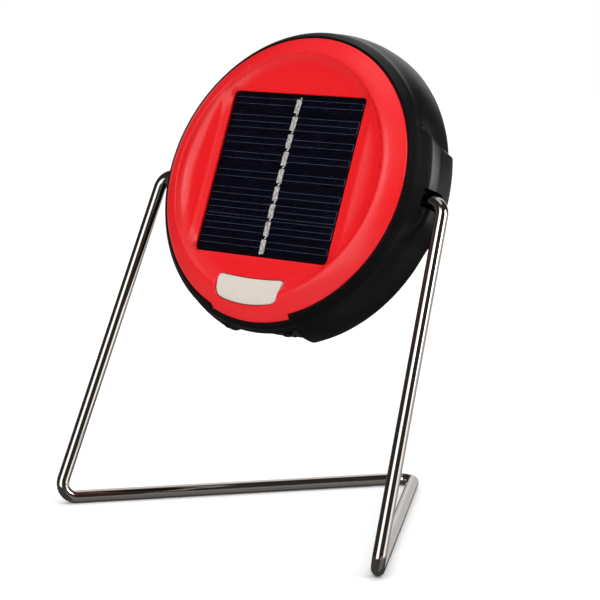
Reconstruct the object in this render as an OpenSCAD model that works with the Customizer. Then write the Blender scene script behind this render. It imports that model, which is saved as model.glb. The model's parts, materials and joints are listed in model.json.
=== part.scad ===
// Round solar lantern: a dished head with a solar panel on its front and a lamp
// on its back, held between the ends of a bent wire stand.
// The lamp faces -Y, +Z is up, and the origin is on the ground under the middle
// of the whole object.  All sizes are millimetres.

/* [Stand] */
// Diameter of the stand wire
wire_d = 4.5; // [4:0.1:4.6]
// Height of the tilt axis above the ground
pivot_h = 117.1; // [100:0.1:140]
// Distance of the tilt axis in front of the middle of the footprint
pivot_setback = 17.97; // [10:0.01:30]
// Distance from the middle plane to the corner where a wire end turns down
stub_x = 61.3; // [61:0.1:66]
// Distance from the middle plane to the corner of a front foot
foot_x = 70.3; // [64:0.1:80]
// Distance of the front feet in front of the tilt axis
foot_forward = 42.2; // [30:0.1:55]
// Distance of the rear corner behind the tilt axis
apex_back = 81.2; // [60:0.1:100]
// Centreline radius of every bend in the wire
bend_r = 5; // [4.6:0.1:6]

/* [Head] */
// Backward lean of the head
head_tilt = 19.55; // [0:0.05:60]
// Distance of the bezel's edge plane in front of the tilt axis
face_forward = 8.85; // [8.8:0.05:9]
// Height of the face centre above the tilt axis, along the face
face_up = 1.64; // [1.5:0.01:1.8]
// Radius of the red bezel at its edge
bezel_r = 50; // [49.9:0.05:50]
// Wall thickness of the housings
wall = 2; // [1.8:0.1:2.2]
// Radius of the lamp opening in the back
lamp_r = 36.2; // [36:0.1:36.5]

/* [Solar panel] */
// Side of the square panel
panel_w = 60; // [59.8:0.1:60]
// Width of the window in the bezel
window_w = 57.5; // [56:0.1:58]
// Height of the window in the bezel
window_h = 58.6; // [57:0.1:59]
// Number of cells in the column
cell_count = 9; // [6:1:10]

/* [Button and port door] */
// Half width of the power button
button_w2 = 14; // [10:0.5:14]
// Travel of the power button
button_travel = 0.7; // [0.3:0.1:0.8]
// Half width of the port door
door_w2 = 11.7; // [11.5:0.1:11.8]

/* [Lamp] */
// Number of lamp LEDs in the outer circle
led_count = 6; // [4:1:8]
// Radius of the circle of LEDs
led_circle_r = 14; // [12:0.5:16]

/* [Hidden] */
$fn = 96;

red = [0.90, 0.09, 0.12];
black = [0.06, 0.06, 0.065];
cream = [0.89, 0.85, 0.79];
chrome = [0.80, 0.78, 0.76];
navy = [0.03, 0.04, 0.10];
board_green = [0.08, 0.30, 0.14];
rubber_grey = [0.16, 0.16, 0.17];

e = 0.01;                                // overlap that makes a cut go right through
wire_r = wire_d / 2;
running_gap = 0.05;                      // radial clearance of a pin that turns in its hole
clear_gap = 0.3;                         // gap between parts that must not touch

// Face frame: the origin is the middle of the bezel's edge circle, +Z comes out
// of the face and +Y runs up it.  The tilt axis lies behind and a little below.
axis_y = -face_up;
axis_z = -face_forward;

module head_frame() {
    translate([0, -pivot_setback, pivot_h]) rotate([90 - head_tilt, 0, 0])
        translate([0, face_up, face_forward]) children();
}

// ---------------------------------------------------------------- swept wires

function unit(v) = v / norm(v);
function turn_off(v, t) = unit(v - t * (v * t));

// Tangent of the path at each of its points
function tangents(p) = [for (i = [0 : len(p) - 1]) unit(p[min(i + 1, len(p) - 1)] - p[max(i - 1, 0)])];

// A side vector for each point, carried along the path without twist
function sides_of(t, i = 0, v = undef) =
    let (s = is_undef(v) ? turn_off(abs(t[0][2]) < 0.9 ? [0, 0, 1] : [1, 0, 0], t[0]) : turn_off(v, t[i]))
    i == len(t) - 1 ? [s] : concat([s], sides_of(t, i + 1, s));

// One closed tube along the points, as a polygon of n sides
module tube(points, r, n) {
    t = tangents(points);
    s = sides_of(t);
    last = len(points) - 1;
    ring = [for (i = [0 : last], k = [0 : n - 1])
        points[i] + r * (cos(k * 360 / n) * s[i] + sin(k * 360 / n) * cross(t[i], s[i]))];
    walls = [for (i = [0 : last - 1], k = [0 : n - 1])
        [i * n + k, (i + 1) * n + k, (i + 1) * n + (k + 1) % n, i * n + (k + 1) % n]];
    polyhedron(ring, concat([[for (k = [0 : n - 1]) k]], walls,
        [[for (k = [n - 1 : -1 : 0]) last * n + k]]), convexity = 8);
}

// ---------------------------------------------------------------- wire stand

wire_sides = 20;
tube_r = wire_r / cos(180 / wire_sides);  // its flats then touch the round wire
bend_steps = 8;
stub_end_x = 46;                         // inner end of the wire, inside its bush
stub_tube_x = 54;                        // outside this the wire is a swept tube
stub_lap = 1;                            // the round end reaches this far into the tube
pivot_y = -pivot_setback;
foot_y = pivot_y - foot_forward;

// Points of the arc that rounds the corner at b
function bend_points(a, b, c) =
    let (mid = unit(unit(a - b) + unit(c - b)), half = acos(unit(a - b) * unit(c - b)) / 2,
        centre = b + mid * bend_r / sin(half), across = cross(unit(cross(b - a, c - b)), -mid))
    [for (i = [0 : bend_steps]) let (t = (90 - half) * (2 * i / bend_steps - 1))
        centre + bend_r * (cos(t) * -mid + sin(t) * across)];

module wire_stand() {
    corners = [[-stub_tube_x, pivot_y, pivot_h], [-stub_x, pivot_y, pivot_h], [-foot_x, foot_y, tube_r],
        [0, pivot_y + apex_back, tube_r], [foot_x, foot_y, tube_r], [stub_x, pivot_y, pivot_h],
        [stub_tube_x, pivot_y, pivot_h]];
    route = [corners[0], for (i = [1 : 5]) each bend_points(corners[i - 1], corners[i], corners[i + 1]),
        corners[6]];
    color(chrome) union() {
        tube(route, tube_r, wire_sides);
        for (s = [-1, 1]) translate([s * stub_end_x, pivot_y, pivot_h]) rotate([0, s * 90, 0])
            cylinder(r = wire_r, h = stub_tube_x - stub_end_x + stub_lap);
    }
}

// ---------------------------------------------------------------- housings

tab_w2 = 16.4;                           // half width of the bezel's bottom tab
tab_r = 51.3;
tab_h = 1.6;
skirt_r = 49.75;                         // the tab joins the bezel's skirt here
post_x = 39;                             // screw posts join the bezel to the shell
post_y = 18;
post_top = -6;
bezel_post_r = 3.2;
shell_post_r = 4;
case_screw_r = 1.25;
rear_z = -34;
window_y = -0.2;                         // middle of the window, a little below that of the face
panel_gap = 0.15;                        // room round the panel in its seat
panel_rib = 1.8;                         // wall round the panel's seat

module at_posts() {
    for (sx = [-1, 1], sy = [-1, 1]) translate([sx * post_x, sy * post_y, 0]) children();
}

// Bezel section: rolled edge, crest, scooped bowl, then the flat underside and skirt
bezel_outer = [[bezel_r, 0], [49.7, 0.7], [48.9, 1.9], [47.8, 3.0], [46.5, 3.9], [45.0, 4.4],
    [43.3, 4.6], [42.2, 4.45], [41.2, 4.0], [40.2, 3.35], [39.0, 2.85], [37.5, 2.6], [0, 2.6]];
bezel_inner = [[0, 0.6], [39.2, 0.6], [41.4, 1.7], [43.3, 2.5], [45.2, 2.1], [46.8, 0.9],
    [47.6, 0.2], [47.6, -1.0], [49.9, -1.0], [49.9, -0.1]];

button_y = -41;
button_top_r = 140;                      // the button's nearly straight upper edge
button_top_y = -37.3;
button_low_r = 46.3;                     // its lower edge, concentric with the bezel
button_gap = 0.35;                       // gap between the button and its hole

module button_outline(grow) {
    intersection() {
        circle(r = button_low_r + grow);
        translate([0, button_top_y - button_top_r]) difference() {
            translate([-button_w2 - grow, -20]) square([2 * (button_w2 + grow), button_top_r + 25]);
            translate([0, 2 * button_top_r]) circle(r = button_top_r - grow);
        }
    }
}

module window_prism(grow, low, height) {
    translate([-window_w / 2 - grow, window_y - window_h / 2 - grow, low])
        cube([window_w + 2 * grow, window_h + 2 * grow, height]);
}

module bezel_window() {
    bevel = 4.2;
    bevel_low = 1.9;
    bevel_high = 2.9;
    window_prism(0, -5, 12);
    hull() {
        window_prism(0, bevel_low, e);
        window_prism(bevel, bevel_high, e);
    }
}

module bezel() {
    rib_w = panel_w + 2 * panel_rib;
    rib_low = -2.5;
    rib_high = 0.7;
    seat_w = panel_w + 2 * panel_gap;
    seat_high = 1.5;
    color(red) difference() {
        union() {
            rotate_extrude() polygon(concat(bezel_outer, bezel_inner));
            translate([-rib_w / 2, -rib_w / 2, rib_low]) cube([rib_w, rib_w, rib_high - rib_low]);
            at_posts() translate([0, 0, post_top]) cylinder(r = bezel_post_r, h = 1 - post_top);
            intersection() {
                translate([0, 0, -tab_h]) difference() {
                    cylinder(r = tab_r, h = tab_h + 0.2);
                    translate([0, 0, -1]) cylinder(r = skirt_r, h = tab_h + 2);
                }
                translate([-tab_w2, -60, -5]) cube([2 * tab_w2, 30, 10]);
            }
        }
        translate([-seat_w / 2, -seat_w / 2, -5]) cube([seat_w, seat_w, 5 + seat_high]);
        bezel_window();
        translate([0, 0, -5]) linear_extrude(15) button_outline(button_gap);
        at_posts() translate([0, 0, post_top - e]) cylinder(r = case_screw_r, h = 5.5);
    }
}

// Shell section, outside from the rim to the lamp opening: collar, crease,
// bulge, then the slope in to the flat back
shell_outer = [[50.9, 0], [51.15, -0.35], [52.2, -1.4], [53.1, -2.5], [53.5, -3.3], [53.6, -4.0],
    [54.2, -5.2], [54.9, -7.0], [55.4, -9.5], [55.65, -12.5], [55.75, -16.0], [55.6, -17.3],
    [55.0, -18.4], [53.6, -20.2], [50.6, -23.4], [47.2, -27.0], [44.2, -30.2], [42.7, -32.0],
    [40.8, -33.4], [38.8, rear_z], [lamp_r, rear_z]];
shell_inner = [[lamp_r, rear_z + wall], [38.0, -32.0], [40.2, -31.0], [42.4, -29.0], [49.0, -22.0],
    [52.8, -17.8], [53.7, -16.2], [53.7, -12.5], [53.3, -9.5], [52.6, -7.2], [50.6, -5.4],
    [46.9, -4.5], [46.9, -3.0], [50.25, -3.0], [50.25, 0]];

boss_r = 57.2;
boss_profile = [[50, -8.0], [54.6, -8.0], [55.9, -8.4], [56.9, -9.4], [boss_r, -10.8], [boss_r, -16.6],
    [56.9, -17.6], [56.2, -18.6], [52, -22.2], [50, -22.2]];
boss_low = -15;                          // angles where a side boss starts and ends
boss_high = 16.5;

bush_r = 4.2;
pocket_floor_x = 52;                     // the pockets give the wire's bends room to turn
pocket_y = [axis_y - 2.9, axis_y + 3.5];
pocket_z = [-13, -4.9];
recess_y = -50.9;                        // floor of the port recess
recess_z = -5.5;
recess_w2 = 14.2;                        // its half width, and how much wider it is at the surface
recess_flare = 3;
hinge_y = -51.9;                         // axis of the port door
hinge_z = -7.1;
hinge_pin_r = 0.5;
lug_x = 12.0;
lug_w = 1.6;
lug_r = 1.1;
port_z = -11.2;
jack_x = 7.5;
usb_x = -7.3;

module shell_envelope() {
    rotate_extrude() polygon(concat(shell_outer, [[0, rear_z], [0, 0]]));
}

module side_boss() {
    rotate([0, 0, boss_low]) rotate_extrude(angle = boss_high - boss_low) polygon(boss_profile);
}

module port_recess() {
    translate([0, 0, -40]) linear_extrude(40 + recess_z)
        polygon([[-recess_w2, recess_y], [recess_w2, recess_y], [recess_w2 + recess_flare, -57],
            [-recess_w2 - recess_flare, -57]]);
}

module door_lug() {
    translate([0, hinge_y, hinge_z]) rotate([0, 90, 0]) cylinder(r = lug_r, h = lug_w);
    translate([0, hinge_y, hinge_z - lug_r]) cube([lug_w, recess_y - hinge_y + 0.3, 2 * lug_r]);
}

module rear_shell() {
    color(black) difference() {
        union() {
            rotate_extrude() polygon(concat(shell_outer, shell_inner));
            intersection() {
                shell_envelope();
                union() {
                    at_posts() translate([0, 0, rear_z]) cylinder(r = shell_post_r, h = post_top - clear_gap - rear_z);
                    translate([-18, -56, -28]) cube([36, 6.9, 22.5]);
                }
            }
            for (s = [0, 1]) mirror([s, 0, 0]) {
                difference() {
                    side_boss();
                    cylinder(r = 49.5, h = 60, center = true);
                }
                translate([49.4, axis_y - 6, -15.2]) cube([5, 12, 11]);
                translate([45, axis_y, axis_z]) rotate([0, 90, 0]) cylinder(r = 5.6, h = 6);
            }
        }
        port_recess();
        // rim notch that the bezel's tab fills
        translate([-tab_w2 - 0.2, -60, -tab_h - 0.2]) cube([2 * tab_w2 + 0.4, 30, 5]);
        for (s = [-1, 1]) {
            translate([s * 45, axis_y, axis_z]) rotate([0, s * 90, 0])
                translate([0, 0, -1]) cylinder(r = bush_r, h = 9);
            translate([s > 0 ? pocket_floor_x : -pocket_floor_x - 10, pocket_y[0], pocket_z[0]])
                cube([10, pocket_y[1] - pocket_y[0], pocket_z[1] - pocket_z[0]]);
        }
        at_posts() {
            translate([0, 0, -11]) cylinder(r = case_screw_r + 0.25, h = 10);
            translate([0, 0, -40]) cylinder(r = 3, h = 30);
        }
        translate([jack_x, recess_y - 2, port_z]) rotate([-90, 0, 0]) cylinder(r = 2.6, h = 5);
        translate([usb_x - 4, recess_y - 2, port_z - 1.6]) cube([8, 5, 3.2]);
    }
    color(black) for (s = [0, 1]) mirror([s, 0, 0]) difference() {
        translate([lug_x, 0, 0]) door_lug();
        translate([lug_x - 1, hinge_y, hinge_z]) rotate([0, 90, 0])
            cylinder(r = hinge_pin_r + running_gap, h = lug_w + 2);
    }
}

module seam_seal() {
    color(rubber_grey) rotate_extrude() translate([48.7, -2.0]) circle(r = 0.95, $fn = 32);
}

module pivot_bush() {
    color(rubber_grey) translate([45, axis_y, axis_z]) rotate([0, 90, 0]) difference() {
        union() {
            cylinder(r = bush_r, h = 7);
            translate([0, 0, -1.2]) cylinder(r = bush_r + 1, h = 1.2);
        }
        translate([0, 0, -5]) cylinder(r = wire_r + running_gap, h = 20);
    }
}

// ---------------------------------------------------------------- solar panel

cover_top = 1.1;
cell_top = 0.7;
cell_t = 0.25;
board_top = cell_top - cell_t;
panel_board_t = 1.2;
cell_pitch = 56.7 / cell_count;
cell_gap = 0.3;
cell_w = 55.6;
cell_tab_x = -0.4;                       // middle of the column of solder tabs
cell_tab_w = 2.4;
cell_tab_l = 5.0;
cell_tab_t = 0.08;

module cell_rows() {
    for (i = [0 : cell_count - 1]) translate([0, (i - (cell_count - 1) / 2) * cell_pitch, 0]) children();
}

module tab_strips() {
    cell_rows() translate([cell_tab_x - cell_tab_w / 2, -cell_tab_l / 2, cell_top])
        cube([cell_tab_w, cell_tab_l, cell_tab_t]);
}

module panel_cover() {
    color([0.55, 0.60, 0.75, 0.25]) difference() {
        translate([-panel_w / 2, -panel_w / 2, cell_top]) cube([panel_w, panel_w, cover_top - cell_top]);
        tab_strips();
    }
}

module solar_cells() {
    color(navy) cell_rows() translate([-cell_w / 2, -(cell_pitch - cell_gap) / 2, board_top])
        cube([cell_w, cell_pitch - cell_gap, cell_t]);
}

module cell_tabs() {
    color("silver") tab_strips();
}

module panel_board() {
    color([0.12, 0.12, 0.13]) translate([-panel_w / 2, -panel_w / 2, board_top - panel_board_t])
        cube([panel_w, panel_w, panel_board_t]);
}

module panel_gasket() {
    gasket_t = 0.4;
    color(rubber_grey) translate([0, 0, cover_top]) linear_extrude(gasket_t) difference() {
        square(panel_w, center = true);
        translate([0, window_y]) square([window_w + 0.6, window_h + 0.4], center = true);
    }
}

// ---------------------------------------------------------------- power button and electronics

pcb_top = -14.4;
pcb_t = 1.6;
plunger_top = -9.7;
switch_top = -10.9;
button_flange_z = -1.3;
plunger_r = 1.7;

module power_button() {
    color(cream) {
        intersection() {
            translate([0, 0, button_flange_z]) linear_extrude(8) button_outline(0);
            rotate_extrude() polygon([[30, -5], [30, 3.5], [38, 3.6], [41, 4.0], [43.3, 4.25], [45, 4.0],
                [46.4, 3.4], [46.4, -5]]);
        }
        translate([0, 0, button_flange_z]) linear_extrude(1) button_outline(0.9);
        translate([0, button_y, plunger_top]) cylinder(r = 2.2, h = button_flange_z - plunger_top + e);
    }
}

module switch_plunger() {
    color(black) translate([0, button_y, switch_top - 0.4]) cylinder(r = plunger_r, h = plunger_top - switch_top + 0.4);
}

module tact_switch() {
    color([0.35, 0.35, 0.36]) difference() {
        translate([-3, button_y - 3, pcb_top]) cube([6, 6, switch_top - pcb_top]);
        translate([0, button_y, switch_top - 1.4]) cylinder(r = plunger_r + running_gap, h = 3);
    }
}

pcb_x = 22;
pcb_low = -46.5;
pcb_high = -21;
standoff_x = 17;
standoff_ys = [-41.5, -24.0];

module at_standoffs() {
    for (sx = [-1, 1], y = standoff_ys) translate([sx * standoff_x, y, 0]) children();
}

module main_board() {
    color(board_green) difference() {
        translate([-pcb_x, pcb_low, pcb_top - pcb_t]) cube([2 * pcb_x, pcb_high - pcb_low, pcb_t]);
        at_standoffs() translate([0, 0, pcb_top - 3]) cylinder(r = 1.2, h = 5);
    }
}

module charge_controller() {
    color(black) translate([-12, -33, pcb_top]) cube([5, 4, 1.5]);
}

module inductor() {
    color([0.25, 0.2, 0.18]) translate([9.5, -29, pcb_top]) difference() {
        cylinder(r = 3.6, h = 3.4);
        translate([0, 0, 3]) cylinder(r = 2.4, h = 1);
    }
}

module capacitor() {
    color([0.15, 0.18, 0.35]) translate([0, -28.5, pcb_top]) cylinder(r = 2.5, h = 5.5);
}

jack_face_y = recess_y + 0.2;
jack_bore_r = 1.8;

module charge_jack() {
    color([0.10, 0.10, 0.11]) difference() {
        union() {
            translate([jack_x - 3.4, -48.9, pcb_top]) cube([6.8, 11.5, 6.4]);
            translate([jack_x, jack_face_y, port_z]) rotate([-90, 0, 0]) cylinder(r = 2.55, h = 3);
        }
        translate([jack_x, jack_face_y - 1, port_z]) rotate([-90, 0, 0]) cylinder(r = jack_bore_r, h = 12);
    }
}

module usb_socket() {
    color([0.75, 0.76, 0.78]) difference() {
        translate([usb_x - 3.8, jack_face_y, port_z - 1.4]) cube([7.6, 5.6, 2.8]);
        translate([usb_x - 3.4, jack_face_y - 1, port_z - 1.0]) cube([6.8, 5.6, 2.0]);
    }
    color([0.75, 0.76, 0.78]) {
        translate([usb_x - 2.8, jack_face_y + 2.4, port_z - 0.35]) cube([5.6, 2.4, 0.7]);
        for (s = [-1, 1]) translate([usb_x + s * 3.2 - 0.4, -47, pcb_top]) cube([0.8, 1.8, 2]);
    }
}

module port_door() {
    door_end = -14.8;
    color([0.09, 0.08, 0.10]) {
        difference() {
            union() {
                translate([-door_w2, hinge_y - hinge_pin_r, door_end])
                    cube([2 * door_w2, 2 * hinge_pin_r, hinge_z - door_end]);
                translate([-door_w2, hinge_y, hinge_z]) rotate([0, 90, 0])
                    cylinder(r = hinge_pin_r, h = 2 * door_w2);
            }
            // finger notch in the free edge
            translate([0, hinge_y, door_end - 1.4]) rotate([90, 0, 0]) cylinder(r = 2.4, h = 4, center = true);
        }
        translate([-lug_x - 1.3, hinge_y, hinge_z]) rotate([0, 90, 0])
            cylinder(r = hinge_pin_r, h = 2 * (lug_x + 1.3));
    }
}

// ---------------------------------------------------------------- frame, battery and lamp

frame_top = -22.6;
frame_t = 1.6;
cell_axis = [14, -12.4];                 // y and z of the battery's axis
battery_r = 9.2;
battery_l = 65;
strap_screw_y = 12.8;
small_screw_r = 0.9;
lamp_lead_x = 10;                        // where the lamp's leads pass through the frame
lamp_lead_y = -17;

module inner_frame() {
    color([0.20, 0.20, 0.21]) difference() {
        union() {
            translate([0, 0, frame_top - frame_t]) cylinder(r = 46, h = frame_t);
            at_standoffs() translate([0, 0, frame_top - e])
                cylinder(r = 2.4, h = pcb_top - pcb_t - frame_top + e);
        }
        at_posts() translate([0, 0, -30]) cylinder(r = 4.3, h = 12);
        at_standoffs() translate([0, 0, -20.5]) cylinder(r = small_screw_r, h = 10);
        translate([lamp_lead_x, lamp_lead_y, -30]) cylinder(r = 3, h = 12);
        at_led_screws() translate([0, 0, -30]) cylinder(r = small_screw_r, h = 12);
    }
}

module battery_cell() {
    color([0.10, 0.35, 0.60]) translate([-battery_l / 2, cell_axis[0], cell_axis[1]]) rotate([0, 90, 0]) {
        cylinder(r = battery_r, h = battery_l - 1);
        cylinder(r = 2.8, h = battery_l);
    }
}

module battery_cradle() {
    color([0.18, 0.18, 0.19]) difference() {
        translate([-34.4, cell_axis[0] - 16, frame_top + 0.02]) cube([68.8, 32, 9.5]);
        translate([-33.2, cell_axis[0], cell_axis[1]]) rotate([0, 90, 0]) cylinder(r = battery_r + 0.1, h = 66.4);
        translate([-33.2, cell_axis[0] - 9.3, cell_axis[1]]) cube([66.4, 18.6, 12]);
        for (s = [-1, 1]) translate([0, cell_axis[0] + s * strap_screw_y, -20])
            cylinder(r = small_screw_r, h = 12);
    }
}

module battery_strap() {
    strap_w = 10;
    foot_z = frame_top + 9.55;
    color(black) difference() {
        union() {
            translate([-strap_w / 2, cell_axis[0], cell_axis[1]]) rotate([0, 90, 0])
                cylinder(r = battery_r + 1.2, h = strap_w);
            translate([-strap_w / 2, cell_axis[0] - 15.5, foot_z]) cube([strap_w, 31, 1.2]);
        }
        translate([-10, cell_axis[0], cell_axis[1]]) rotate([0, 90, 0]) cylinder(r = battery_r + 0.1, h = 20);
        translate([-10, cell_axis[0] - 20, foot_z - 20]) cube([20, 40, 20]);
        for (s = [-1, 1]) translate([0, cell_axis[0] + s * strap_screw_y, foot_z - 1]) cylinder(r = 1.3, h = 5);
    }
}

module battery_tabs() {
    color([0.72, 0.70, 0.66]) for (s = [-1, 1])
        translate([s > 0 ? battery_l / 2 : -battery_l / 2 - 0.2, cell_axis[0] - 3, cell_axis[1] - 2])
            cube([0.2, 6, 9]);
}

led_face = -25.9;
led_board_t = 1.6;
led_screw_circle_r = 27.5;
led_w = 3.5;
led_h = 1.4;

module at_leds() {
    children();
    for (i = [0 : led_count - 1]) rotate([0, 0, i * 360 / led_count]) translate([led_circle_r, 0, 0]) children();
}

module at_led_screws() {
    for (a = [90, 210, 330]) rotate([0, 0, a]) translate([led_screw_circle_r, 0, 0]) children();
}

module led_board() {
    color([0.85, 0.85, 0.86]) difference() {
        translate([0, 0, led_face]) cylinder(r = 30, h = led_board_t);
        at_led_screws() translate([0, 0, -30]) cylinder(r = 1.2, h = 10);
    }
}

module leds() {
    color([0.95, 0.90, 0.60]) at_leds() translate([-led_w / 2, -led_w / 2, led_face - led_h])
        cube([led_w, led_w, led_h]);
}

module reflector() {
    color([0.93, 0.93, 0.94]) difference() {
        rotate_extrude() polygon([[0, -26.9], [24, -26.9], [31.4, -31.2], [35.8, -31.2], [35.8, -30.2],
            [32.3, -30.2], [24.4, -26.1], [0, -26.1]]);
        at_leds() translate([0, 0, -29]) cylinder(r = 2.8, h = 5);
    }
}

module lens() {
    color([0.92, 0.93, 0.95, 0.45]) rotate_extrude() polygon([[0, -33.2], [20, -33.0], [30, -32.2], [33, -32.0],
        [36, -32.0], [36, -33.9], [33, -33.9], [28, -34.7], [20, -35.4], [10, -35.8], [0, -35.9]]);
}

module lens_seal() {
    color(rubber_grey) translate([0, 0, -31.98]) difference() {
        cylinder(r = 35.8, h = 0.76);
        translate([0, 0, -1]) cylinder(r = 33.5, h = 3);
    }
}

module lens_ring() {
    color(black) rotate_extrude() polygon([[33.6, -33.95], [36.1, -33.95], [36.1, -34.02], [38.8, -34.02],
        [38.6, -34.8], [37.6, -35.5], [35.2, -35.5], [33.9, -34.9]]);
}

// ---------------------------------------------------------------- screws and leads

// A pan-head screw whose head rests on z = 0 and whose shank runs up +Z
module screw(shank_r, head_r, head_h, length) {
    cylinder(r = shank_r, h = length);
    translate([0, 0, -head_h]) difference() {
        cylinder(r = head_r, h = head_h);
        for (a = [0, 90]) rotate([0, 0, a])
            translate([-head_r * 0.65, -head_r * 0.14, -1]) cube([head_r * 1.3, head_r * 0.28, 1 + head_h * 0.6]);
    }
}

module case_screws() {
    color("silver") at_posts() translate([0, 0, -10]) screw(case_screw_r, 2.5, 1.7, 9);
}

module board_screws() {
    color("silver") at_standoffs() translate([0, 0, pcb_top]) mirror([0, 0, 1])
        screw(small_screw_r, 1.9, 1.2, 5.5);
}

module strap_screws() {
    color("silver") for (s = [-1, 1])
        translate([0, cell_axis[0] + s * strap_screw_y, frame_top + 10.75]) mirror([0, 0, 1])
            screw(small_screw_r, 1.9, 1.2, 7);
}

module led_board_screws() {
    color("silver") at_led_screws() translate([0, 0, led_face]) screw(small_screw_r, 1.8, 0.9, 3);
}

lead_r = 0.6;
lead_sides = 8;
lead_red = [0.75, 0.10, 0.08];
lead_black = [0.08, 0.08, 0.08];

module lead(points) {
    tube(points, lead_r, lead_sides);
}

module lead_pair(points, spread) {
    color(lead_red) lead([for (p = points) p + spread]);
    color(lead_black) lead([for (p = points) p - spread]);
}

module panel_leads() {
    lead_pair([[-12, -6, board_top - panel_board_t], [-12, -6, -3], [-12, -19, -5], [-12, -24, -9], [-12, -24, pcb_top]],
        [1, 0, 0]);
}

module battery_leads() {
    for (s = [-1, 1]) color(s > 0 ? lead_red : lead_black)
        lead([[s * 33.5, cell_axis[0], -9.4], [s * 36.5, 10, -10], [s * 36.5, -6, -10], [s * 15, -26, -10],
            [s * 15, -26, pcb_top]]);
}

module lamp_leads() {
    lead_pair([[lamp_lead_x, -23, pcb_top - pcb_t], [lamp_lead_x, -23, -18.5],
        [lamp_lead_x, lamp_lead_y, -20.5], [lamp_lead_x, lamp_lead_y, led_face + led_board_t]], [1, 0, 0]);
}

wire_stand();
head_frame() bezel();
head_frame() rear_shell();
head_frame() seam_seal();
head_frame() mirror([1, 0, 0]) pivot_bush();  // pivot_bush_left
head_frame() pivot_bush();  // pivot_bush_right
head_frame() panel_cover();
head_frame() solar_cells();
head_frame() cell_tabs();
head_frame() panel_board();
head_frame() panel_gasket();
head_frame() power_button();
head_frame() switch_plunger();
head_frame() tact_switch();
head_frame() main_board();
head_frame() charge_controller();
head_frame() inductor();
head_frame() capacitor();
head_frame() charge_jack();
head_frame() usb_socket();
head_frame() port_door();
head_frame() inner_frame();
head_frame() battery_cell();
head_frame() battery_cradle();
head_frame() battery_strap();
head_frame() battery_tabs();
head_frame() led_board();
head_frame() leds();
head_frame() reflector();
head_frame() lens();
head_frame() lens_seal();
head_frame() lens_ring();
head_frame() case_screws();
head_frame() board_screws();
head_frame() strap_screws();
head_frame() led_board_screws();
head_frame() panel_leads();
head_frame() battery_leads();
head_frame() lamp_leads();
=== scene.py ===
import json
import math

import bmesh
import bpy
import numpy as np
from mathutils import Matrix, Vector


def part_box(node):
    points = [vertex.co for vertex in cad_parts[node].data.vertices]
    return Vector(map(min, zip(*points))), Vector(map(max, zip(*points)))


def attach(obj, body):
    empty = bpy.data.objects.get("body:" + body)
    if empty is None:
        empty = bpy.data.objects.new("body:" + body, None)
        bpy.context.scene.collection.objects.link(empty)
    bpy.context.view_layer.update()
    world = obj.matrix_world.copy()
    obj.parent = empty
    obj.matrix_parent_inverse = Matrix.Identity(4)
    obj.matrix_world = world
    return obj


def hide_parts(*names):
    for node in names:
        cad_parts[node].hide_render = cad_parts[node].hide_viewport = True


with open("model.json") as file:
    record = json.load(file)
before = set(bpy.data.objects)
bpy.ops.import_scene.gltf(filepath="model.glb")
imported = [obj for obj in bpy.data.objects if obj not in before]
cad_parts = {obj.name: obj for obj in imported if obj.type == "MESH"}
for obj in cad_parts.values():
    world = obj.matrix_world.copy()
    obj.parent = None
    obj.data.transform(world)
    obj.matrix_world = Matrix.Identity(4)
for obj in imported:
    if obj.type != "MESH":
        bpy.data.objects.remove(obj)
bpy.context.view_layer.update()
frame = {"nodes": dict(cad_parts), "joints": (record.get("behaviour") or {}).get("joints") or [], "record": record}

MM = 0.001

# ---------------------------------------------------------------- the head's own frame
# Millimetres: X to the right, Y up the face, Z out of the face.  The origin is the
# middle of the bezel's edge circle.

joints = {j["name"]: j for j in frame["joints"]}
pivot = np.array(joints["head_tilt"]["pos_m"])
right = np.array([1.0, 0.0, 0.0])
front = -np.array(joints["button_press"]["axis"])
up = np.cross(front, right)
head_axes = np.array([right, up, front])

BEZEL_R = 50.0
BEZEL_HEIGHT = 4.6


def node_in_head(node):
    """Vertices of a CAD node along the head's axes, in millimetres from the tilt axis."""
    co = np.array([v.co for v in frame["nodes"][node].data.vertices])
    return (co - pivot) @ head_axes.T / MM


bezel_points = node_in_head("bezel")
bezel_top = bezel_points[:, 1].max()
bezel_front = bezel_points[:, 2].max()
face_origin = np.array([0.0, bezel_top - BEZEL_R, bezel_front - BEZEL_HEIGHT])
# The tilt axis runs along X through this point of the face frame
AXIS_Y = -face_origin[1]
AXIS_Z = -face_origin[2]


def to_row(points):
    """From the head's millimetres to the metres of the shared frame."""
    return pivot + (np.asarray(points, float) + face_origin) @ head_axes * MM


# ---------------------------------------------------------------- mesh helpers

def smoothstep(a, b, v):
    """0 where v is at a or beyond it, 1 at b, and smooth between."""
    t = np.clip((np.asarray(v, float) - a) / (b - a), 0, 1)
    return t * t * (3 - 2 * t)


def round_off(points, passes=2):
    """Cuts the corners of an open outline, which turns it into a smooth curve."""
    p = np.asarray(points, float)
    for _ in range(passes):
        q = np.empty((2 * len(p) - 2, p.shape[1]))
        q[0::2] = 0.75 * p[:-1] + 0.25 * p[1:]
        q[1::2] = 0.25 * p[:-1] + 0.75 * p[1:]
        p = np.vstack([p[:1], q, p[-1:]])
    return p


def finer(points, step):
    """Adds points to an outline so that none are further apart than step."""
    p = np.asarray(points, float)
    out = [p[0]]
    for a, b in zip(p[:-1], p[1:]):
        n = max(1, int(np.ceil(np.linalg.norm(b - a) / step)))
        out.extend(a + (b - a) * (k + 1) / n for k in range(n))
    return np.array(out)


def mesh_object(name, verts, faces, smooth_deg=35.0):
    """A new object in the scene from points in metres."""
    mesh = bpy.data.meshes.new(name)
    mesh.from_pydata([tuple(v) for v in verts], [], [tuple(f) for f in faces])
    mesh.validate()
    obj = bpy.data.objects.new(name, mesh)
    bpy.context.scene.collection.objects.link(obj)
    outward(obj)
    soften(obj, smooth_deg)
    return obj


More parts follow.
